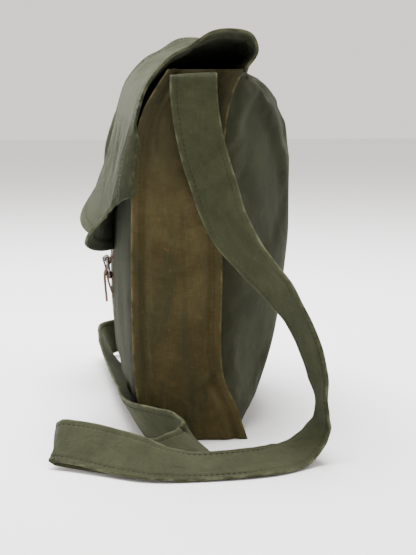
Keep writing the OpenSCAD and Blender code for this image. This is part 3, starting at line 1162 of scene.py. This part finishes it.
@dataclass
class Gusset:
    """One end of the bag: a strip of faded canvas whose flanges stand out past the panels."""

    shape: BagShape
    finishes: Finishes
    side: int
    node: str
    bulge: float = 6.0 * MM
    groove: float = 3.0 * MM
    tuck: float = 11.0 * MM
    crease: float = 5.0 * MM
    crease_z: float = 0.062
    fold: float = 3.2 * MM
    flange_t: float = 0.0034
    cut: Point = (0.096, 0.342)

    def edges(self, z: float) -> tuple[float, float]:
        """The outer edges of the flanges at a height.

        Args:
            z: The height.

        Returns:
            The front edge's y and the back edge's y.
        """
        s = self.shape
        share = clamp(z / s.height)
        front = -(s.half_d + s.front_swell * s.front_side.across_at(share)) - s.flange
        back = s.half_d - s.rear_pinch * s.back_side.across_at(share) + s.flange
        return front, back

    def relief(self, y: float, z: float) -> float:
        """How far the cloth stands out from the gusset's plane.

        Args:
            y: Place from the front to the back.
            z: Height.

        Returns:
            A distance outwards, made of a bulge, a groove beside the seams, a tuck, a crease and folds.
        """
        s = self.shape
        front, back = self.edges(z)
        inner = min(y - front, back - y) - s.flange
        inside = smooth(0.0, 0.012, inner)
        share = clamp((y - front) / (back - front))
        body = self.bulge * math.sin(math.pi * share) * math.sin(math.pi * clamp(z / s.height)) ** 0.5
        groove = -self.groove * bump_at(inner, 0.004, 0.004)
        rear_tuck = -self.tuck * bump_at(y, back - 0.021, 0.008) * smooth(0.22, 0.33, z)
        slope = 0.5 * (y - back)
        kink = -self.crease * bump_at(z - slope, self.crease_z, 0.005) * smooth(-0.015, 0.008, y)
        folds = self.fold * wander(42 * y + 1.5 * self.side, 7 * z, 5.0 + self.side)
        return inside * (body + folds) + groove + rear_tuck * inside + kink * smooth(-0.002, 0.004, inner)

    def surface_x(self, y: float, z: float) -> float:
        """Distance of the gusset's outer surface from the middle of the bag."""
        s = self.shape
        return s.half_w + s.canvas + self.relief(y, z) + 0.7 * MM * wander(8 * y, 30 * z, 1.7)

    def place(self, u: float, v: float) -> Vector:
        """A point of the gusset.

        Args:
            u: Share of the way from the front edge to the back one.
            v: Share of the way from the base to the top.

        Returns:
            The point there.
        """
        z = self.shape.height * v
        front, back = self.edges(z)
        y = front + (back - front) * u
        return Vector((self.side * self.surface_x(y, z), y, z))

    def in_flange(self, u: float, v: float) -> float:
        """Where the cloth is turned in and sewn.

        Args:
            u: Share of the way from the front edge to the back one.
            v: Share of the height.

        Returns:
            1 on the flanges, 0 on the cloth between them.
        """
        front, back = self.edges(self.shape.height * v)
        inner = min(u, 1 - u) * (back - front)
        return smooth(self.shape.flange + 0.0012, self.shape.flange - 0.0012, inner)

    def edge_wear(self, u: float, v: float) -> float:
        """Wear along the flanges' outer edges.

        Args:
            u: Share of the way from the front edge to the back one.
            v: Share of the height.

        Returns:
            The wear, from 0 to 1.
        """
        front, back = self.edges(self.shape.height * v)
        return smooth(0.0024, 0.0004, min(u, 1 - u) * (back - front))

    def build(self) -> bpy.types.Object:
        """Make the gusset's cloth.

        Returns:
            The finished gusset.
        """
        cloth = Cloth(self.node + "_canvas", self.cut, (88, 132), self.place, self.in_flange, self.edge_wear)
        piece = cloth.build()
        if self.side < 0:
            piece.data.flip_normals()
        Settling(pressure=0.2 * self.side, spare_cloth=0.03, bending=0.8, cap=2.5 * MM).run(piece, self._sewn)
        thicken(piece, self.flange_t, 0.45)
        bake_modifiers(piece)
        finish_piece(piece, self.finishes.gusset)
        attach(piece, Body.ROOT.value)
        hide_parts(self.node)
        return piece

    def _sewn(self, point: Vector) -> float:
        """Hold the flanges and both ends.

        Args:
            point: A point of the cloth.

        Returns:
            How firmly it is held, from 0 to 1.
        """
        front, back = self.edges(point.z)
        inner = min(point.y - front, back - point.y) - self.shape.flange
        ends = max(smooth(0.010, 0.0, point.z), smooth(0.008, 0.0, self.shape.height - point.z))
        return max(smooth(0.012, 0.0, inner), ends)

    def stitches(self, rows: Stitching) -> None:
        """Sew both flanges on.

        Args:
            rows: The stitching that the rows are added to.
        """
        steps = 120
        inset = self.shape.flange - 0.8 * MM
        for at_front in (True, False):
            points = []
            for k in range(steps + 1):
                z = self.shape.height * (0.012 + 0.976 * k / steps)
                front, back = self.edges(z)
                y = front + inset if at_front else back - inset
                points.append(Vector((self.side * (self.surface_x(y, z) + 0.1 * MM), y, z)))
            rows.row(points, [Vector((self.side, 0, 0))] * len(points))


@dataclass
class Flap:
    """The flap: the back's cloth carried over the top and down the front, hemmed on three sides."""

    shape: BagShape
    finishes: Finishes
    hem: float = 0.011
    lap: float = 0.012
    lift: float = 0.004
    wrap: float = 0.011
    ripple: float = 2.6 * MM
    waver: float = 1.6 * MM
    curl: float = 3.0 * MM
    overhang: float = 2.4 * MM
    size: tuple[float, float] = (0.384, 0.292)

    def place(self, u: float, v: float) -> Vector:
        """A point of the flap, with the uneven hang of real cloth.

        Args:
            u: Share of the way from the left edge to the right one.
            v: Share of the way from the lap behind the back's top to the hem.

        Returns:
            The point there.
        """
        s = self.shape
        if v < self.lap:
            down = (self.lap - v) / self.lap
            across = (s.half_w + s.canvas) * (2 * u - 1)
            return s.hinge + Vector((across, -1.5 * MM * down, -5 * MM * down))
        v = (v - self.lap) / (1 - self.lap)
        point = s.flap(u, v)
        low = smooth(0.5, 1.0, v)
        point.y -= self.ripple * abs(wander(5 * u, 4 * v, 2.2)) * low
        point.z += self.waver * wander(7 * u, 3 * v, 6.6) * smooth(0.1, 0.3, v) * smooth(0.55, 0.4, v)
        point.y -= self.curl * smooth(0.93, 1.0, v) * s.flare(2 * u - 1) / s.hem_flare
        side = abs(2 * u - 1)
        over_top = smooth(0.03, 0.12, v) * smooth(0.62, 0.45, v)
        point.z += self.lift * smooth(0.86, 1.0, side) * over_top
        out = self.overhang * smooth(0.955, 0.98, side) * smooth(0.4, 0.6, v)
        point.x += math.copysign(out, point.x)
        point.y += self.wrap * smooth(0.965, 1.0, side) * smooth(0.5, 0.66, v)
        return point

    def from_edge(self, u: float, v: float) -> float:
        """Distance from the nearest hemmed edge, in metres."""
        return min(u * self.size[0], (1 - u) * self.size[0], (1 - v) * self.size[1])

    def in_hem(self, u: float, v: float) -> float:
        """1 in the turned hem, 0 elsewhere."""
        return smooth(self.hem + 0.0014, self.hem - 0.0014, self.from_edge(u, v))

    def edge_wear(self, u: float, v: float) -> float:
        """Wear along the hem's edge."""
        return 0.9 * smooth(0.0030, 0.0006, self.from_edge(u, v))

    def build(self) -> bpy.types.Object:
        """Make the flap's cloth, laid over the top of the back and down the front.

        Returns:
            The finished flap.
        """
        piece = Cloth("flap_canvas", self.size, (128, 132), self.place, self.in_hem, self.edge_wear).build()
        piece.data.flip_normals()
        Settling(pressure=0.1, spare_cloth=0.02, bending=1.5, cap=2.2 * MM).run(piece, self._held)
        thicken(piece, 2.6 * MM, 0.55)
        bake_modifiers(piece)
        finish_piece(piece, self.finishes.flap)
        self.hang(piece)
        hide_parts("flap")
        return piece

    def _held(self, point: Vector) -> float:
        """Hold the sides, the fold at the hinge and most of the hem.

        Args:
            point: A point of the cloth.

        Returns:
            How firmly it is held, from 0 to 1.
        """
        hinge = self.shape.hinge
        side = smooth(0.016, 0.0, self.shape.half_w - abs(point.x))
        top = smooth(0.020, 0.0, abs(point.y - hinge.y) + abs(point.z - hinge.z))
        hem = smooth(0.215, 0.19, point.z) * 0.9 if point.y < 0 else 0.0
        return max(side, top, hem)

    def hang(self, piece: bpy.types.Object) -> None:
        """Bake the placement of a piece of the flap into its mesh.

        Args:
            piece: The flap's cloth, or its thread.
        """
        start = self.shape.hinge + Vector((0, 0, -0.0006))
        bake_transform(piece)

    def stitches(self, rows: Stitching) -> None:
        """Sew the hem down, along both sides and the bottom.

        Args:
            rows: The stitching that the rows are added to.
        """
        inset_u, inset_v = (self.hem - 0.0015) / self.size[0], (self.hem - 0.0015) / self.size[1]
        side_steps, hem_steps = 150, 220
        down = [0.02 + (0.98 - inset_v) * k / side_steps for k in range(side_steps + 1)]
        along = [inset_u + (1 - 2 * inset_u) * k / hem_steps for k in range(hem_steps + 1)]
        for path in (
            [(inset_u, v) for v in down],
            [(1 - inset_u, v) for v in down],
            [(u, 1 - inset_v) for u in along],
        ):
            normals = [self._normal(u, v) for u, v in path]
            rows.row([self.place(u, v) + n * 0.15 * MM for (u, v), n in zip(path, normals)], normals)

    def _normal(self, u: float, v: float, step: float = 0.004) -> Vector:
        """The way that the flap's outer face looks.

        Args:
            u: Share of the width.
            v: Share of the length.
            step: How far apart the points are that it is measured between.

        Returns:
            A unit vector.
        """
        across = self.place(min(u + step, 1), v) - self.place(max(u - step, 0), v)
        down = self.place(u, min(v + step, 1)) - self.place(u, max(v - step, 0))
        return down.cross(across).normalized()


@dataclass
class ShoulderStrap:
    """A flat strap of doubled canvas, sewn along both edges."""

    finishes: Finishes
    route: Route
    width: float = 0.042
    thickness: float = 0.0028
    step: float = 0.0034
    seam: float = 0.0055

    def build(self) -> tuple[bpy.types.Object, bpy.types.Object]:
        """Returns:
            The strap and its stitching.
        """
        frames = self.route.sample(self.step)
        count = len(frames) - 1
        length = self.route.lengths()[-1]
        normals = self._normals(frames)

        def place(u: float, v: float) -> Vector:
            """A point of the strap, raised along both seams and a little cockled.

            Args:
                u: Share of the width.
                v: Share of the length.

            Returns:
                The point.
            """
            k = min(round(v * count), count)
            centre, across = frames[k]
            off = (u - 0.5) * self.width
            ridge = 0.35 * MM * bump_at(abs(off), self.width / 2 - 0.5 * self.seam, 0.0016)
            cockle = 0.55 * MM * wander(4 * u, 60 * v, 4.4) * smooth(0.0, 0.012, abs(off))
            return centre + across * off + normals[k] * (ridge + cockle)

        def wear(u: float, _: float) -> float:
            """Wear along both edges."""
            return smooth(0.0020, 0.0003, min(u, 1 - u) * self.width)

        def bulk(u: float, _: float) -> float:
            """Thickness, which thins to the edges and under the stitches."""
            edge = min(u, 1 - u) * self.width
            return smooth(0.0, 0.0016, edge) * (1 - 0.75 * bump_at(edge, self.seam, 0.0009))

        strap = Cloth("shoulder_strap_canvas", (self.width, length), (42, count), place, bulk, wear).build()
        thicken(strap, self.thickness, 0.45, 0.0)
        bake_modifiers(strap)
        finish_piece(strap, self.finishes.strap)
        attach(strap, Body.ROOT.value)
        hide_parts("shoulder_strap")

        stitches = self._sew(frames, normals)
        return strap, stitches

    def _sew(self, frames: Sequence[tuple[Vector, Vector]], normals: Sequence[Vector]) -> bpy.types.Object:
        """Sew both edges, with the thread showing on both faces.

        Args:
            frames: Centre and width direction along the route.
            normals: The strap's face normals there.

        Returns:
            The finished thread.
        """
        rows = Stitching("shoulder_strap_stitches", length=3.4 * MM, gap=1.4 * MM)
        inset = self.width / 2 - self.seam
        for edge in (-1, 1):
            for face in (-1, 1):
                lift = face * self.thickness * 0.32
                line = [c + a * edge * inset + n * lift for (c, a), n in zip(frames, normals)]
                rows.row(line, [n * face for n in normals])
        stitches = rows.build()
        finish_piece(stitches, self.finishes.thread)
        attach(stitches, Body.ROOT.value)
        return stitches

    @staticmethod
    def _normals(frames: Sequence[tuple[Vector, Vector]]) -> list[Vector]:
        """The strap's face normal at each point of its route.

        Args:
            frames: Centre and width direction along the route.

        Returns:
            One unit vector for each.
        """
        last = len(frames) - 1
        found = []
        for k, (_, across) in enumerate(frames):
            run = (frames[min(k + 1, last)][0] - frames[max(k - 1, 0)][0]).normalized()
            found.append(across.cross(run).normalized())
        return found


@dataclass
class Closure:
    """The leather billet and chape, and the steel roller buckle between them."""

    shape: BagShape
    finishes: Finishes
    width: float = 0.018
    leather: float = 0.0022
    bar_z: float = 0.129
    bar_r: float = 0.00156

    def strip(self, name: str, line: Sequence[Point], taper: float = 0.0) -> bpy.types.Object:
        """A leather strip along a side view.

        Args:
            name: The piece's name.
            line: Points of its centre line, as y and z.
            taper: Length over which its far end narrows to a point.

        Returns:
            The strip, thick and with rounded edges.
        """
        outline = Outline(tuple(line))
        length = sum((Vector(b) - Vector(a)).length for a, b in zip(line, line[1:]))

        def place(u: float, v: float) -> Vector:
            """A point of the strip.

            Args:
                u: Share of the width.
                v: Share of the length.

            Returns:
                The point.
            """
            yz = outline.at(v)
            left = (1 - v) * length
            half = self.width / 2 * (math.sqrt(clamp(left / taper)) if taper else 1.0)
            return Vector(((2 * u - 1) * max(half, 0.0008), yz.x, yz.y))

        def wear(u: float, _: float) -> float:
            """Wear along both cut edges."""
            return smooth(0.0012, 0.0, min(u, 1 - u) * self.width)

        piece = Cloth(name, (self.width, length), (12, 48), place, wear=wear).build()
        thicken(piece, self.leather, offset=0.0)
        edge = piece.modifiers.new("edge", "BEVEL")
        edge.width, edge.segments, edge.limit_method, edge.angle_limit = 0.5 * MM, 2, "ANGLE", 1.0
        bake_modifiers(piece)
        finish_piece(piece, self.finishes.leather)
        return piece

    def build(self) -> tuple[bpy.types.Object, bpy.types.Object]:
        """Make both leather pieces.

        Returns:
            The billet under the flap and the chape that holds the buckle.
        """
        return self._billet(), self._chape()

    @property
    def wall_y(self) -> float:
        """Where the front of the bag is at the buckle."""
        return -(self.shape.half_d + self.shape.front_swell)

    @property
    def bar_y(self) -> float:
        """Where the buckle's inner bar is."""
        return self.wall_y - self.shape.flap_gap - 0.005

    def _billet(self) -> bpy.types.Object:
        """The strip that is sewn under the flap and passes through the buckle.

        Returns:
            The finished strip.
        """
        roller_low, roller_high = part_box("buckle_roller")
        sewn_y = self.wall_y - self.shape.flap_gap
        over_y = self.bar_y - self.bar_r - 1.5 * self.leather - 0.0005
        behind = roller_high.y + 0.0005 + self.leather / 2
        billet = self.strip("closure_billet_leather", (
            (sewn_y + 0.0009, self.shape.hem_mid_z + 0.030),
            (sewn_y - 0.0012, self.shape.hem_mid_z - 0.003),
            (behind, (roller_low.z + roller_high.z) / 2 + 0.001),
            (over_y + 0.001, self.bar_z + 0.005),
            (over_y, self.bar_z - 0.003),
            (over_y + 0.002, self.bar_z - 0.027),
        ), taper=0.007)
        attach(billet, Body.FLAP.value)
        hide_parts("closure_billet")
        return billet

    def _chape(self) -> bpy.types.Object:
        """The strip that is sewn to the front and folded round the buckle's inner bar.

        Returns:
            The finished strip.
        """
        foot_y, foot_z = self.wall_y - self.leather / 2, self.bar_z - 0.032
        ring = self.bar_r + self.leather / 2
        angles = [math.radians(degrees) for degrees in range(-20, 206, 45)]
        turn = [(self.bar_y + ring * math.cos(a), self.bar_z + ring * math.sin(a)) for a in angles]
        chape = self.strip("closure_chape_leather", (
            (foot_y, foot_z - 0.008),
            (foot_y, foot_z + 0.008),
            (self.bar_y + ring + 0.001, self.bar_z - 0.008),
            *turn,
            (self.bar_y - 0.001, self.bar_z - 0.008),
            (foot_y - self.leather, foot_z + 0.008),
            (foot_y - self.leather, foot_z - 0.004),
        ))
        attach(chape, Body.ROOT.value)
        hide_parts("closure_chape")
        return chape

    def dress_buckle(self, nodes: dict[str, bpy.types.Object]) -> None:
        """Give the buckle's three nodes their steel.

        Args:
            nodes: The frame's objects by name.
        """
        for name in ("buckle_frame", "buckle_roller", "buckle_prong"):
            node = nodes[name]
            if not node.material_slots:
                node.data.materials.append(self.finishes.steel)
            for slot in node.material_slots:
                slot.material = self.finishes.steel


# ---------------------------------------------------------------- studio
@dataclass(frozen=True)
class Studio:
    """A pale floor, soft light from above and the camera beside the bag."""

    eye: Vector = Vector((1.570, -0.136, 0.339))
    turn: float = 5.83
    dip: float = 7.7
    lens: float = 99.4
    floor: float = 6.0

    def camera(self) -> None:
        """Set up the camera."""
        turn, dip = math.radians(self.turn), math.radians(self.dip)
        ahead = Vector((-math.cos(turn) * math.cos(dip), math.sin(turn) * math.cos(dip), -math.sin(dip)))
        data = bpy.data.cameras.new("camera")
        data.lens, data.sensor_width = self.lens, 36
        camera = bpy.data.objects.new("camera", data)
        camera.location = self.eye
        camera.rotation_mode = "QUATERNION"
        camera.rotation_quaternion = ahead.to_track_quat("-Z", "Y")
        bpy.context.scene.collection.objects.link(camera)
        bpy.context.scene.camera = camera

    def ground(self) -> None:
        """Lay the floor."""
        bm = bmesh.new()
        bmesh.ops.create_grid(bm, x_segments=1, y_segments=1, size=self.floor)
        bmesh.ops.translate(bm, verts=bm.verts, vec=(0, 0, -0.0004))
        floor = into_object("studio_floor", bm)
        n = Nodes("pale_cloth")
        n.set(Base_Color=colour(0.82, 0.83, 0.84), Roughness=0.9)
        floor.data.materials.append(n.material)

    def lights(self) -> None:
        """Hang the lights."""
        self._lamp("window", (-1.3, -0.5, 1.6), 1.0, 22)
        self._lamp("ceiling", (-0.3, -0.1, 1.9), 1.3, 142)
        world = bpy.data.worlds.new("room")
        world.use_nodes = True
        sky = world.node_tree.nodes["Background"]
        sky.inputs["Color"].default_value = colour(0.68, 0.64, 0.60)
        sky.inputs["Strength"].default_value = 1.9
        bpy.context.scene.world = world

    @staticmethod
    def _lamp(name: str, place: Sequence[float], size: float, power: float) -> None:
        """Hang one soft square lamp that faces the bag.

        Args:
            name: Its name.
            place: Where it hangs.
            size: Length of its sides.
            power: Its power, in watts.
        """
        data = bpy.data.lights.new(name, "AREA")
        data.size, data.energy = size, power
        lamp = bpy.data.objects.new(name, data)
        lamp.location = place
        lamp.rotation_mode = "QUATERNION"
        lamp.rotation_quaternion = (Vector((0, 0, 0.15)) - lamp.location).to_track_quat("-Z", "Y")
        bpy.context.scene.collection.objects.link(lamp)


def main() -> None:
    """Build the bag and its studio."""
    logging.basicConfig(level=logging.INFO, format="%(name)s: %(message)s")
    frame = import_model()
    studio = Studio()
    studio.camera()
    finishes = Finishes.mixed()
    shape = BagShape()

    made = list(ShoulderStrap(finishes, Route(STRAP_ROUTE)).build())

    panels = Panels(shape, finishes)
    made += [panels.front(), panels.back(), panels.base()]

    gusset_rows = Stitching("gusset_stitches")
    for side, node in ((1, "right_gusset"), (-1, "left_gusset")):
        gusset = Gusset(shape, finishes, side, node)
        made.append(gusset.build())
        gusset.stitches(gusset_rows)
    thread = gusset_rows.build()
    finish_piece(thread, finishes.thread)
    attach(thread, Body.ROOT.value)

    flap = Flap(shape, finishes)
    made.append(flap.build())
    flap_rows = Stitching("flap_stitches")
    flap.stitches(flap_rows)
    flap_thread = flap_rows.build()
    finish_piece(flap_thread, finishes.thread)
    flap.hang(flap_thread)

    closure = Closure(shape, finishes)
    made += [thread, flap_thread, *closure.build()]
    closure.dress_buckle(frame["nodes"])
    for piece in made:
        log.info("%s: %d faces", piece.name, len(piece.data.polygons))

    studio.ground()
    studio.lights()


if __name__ == "__main__":
    main()
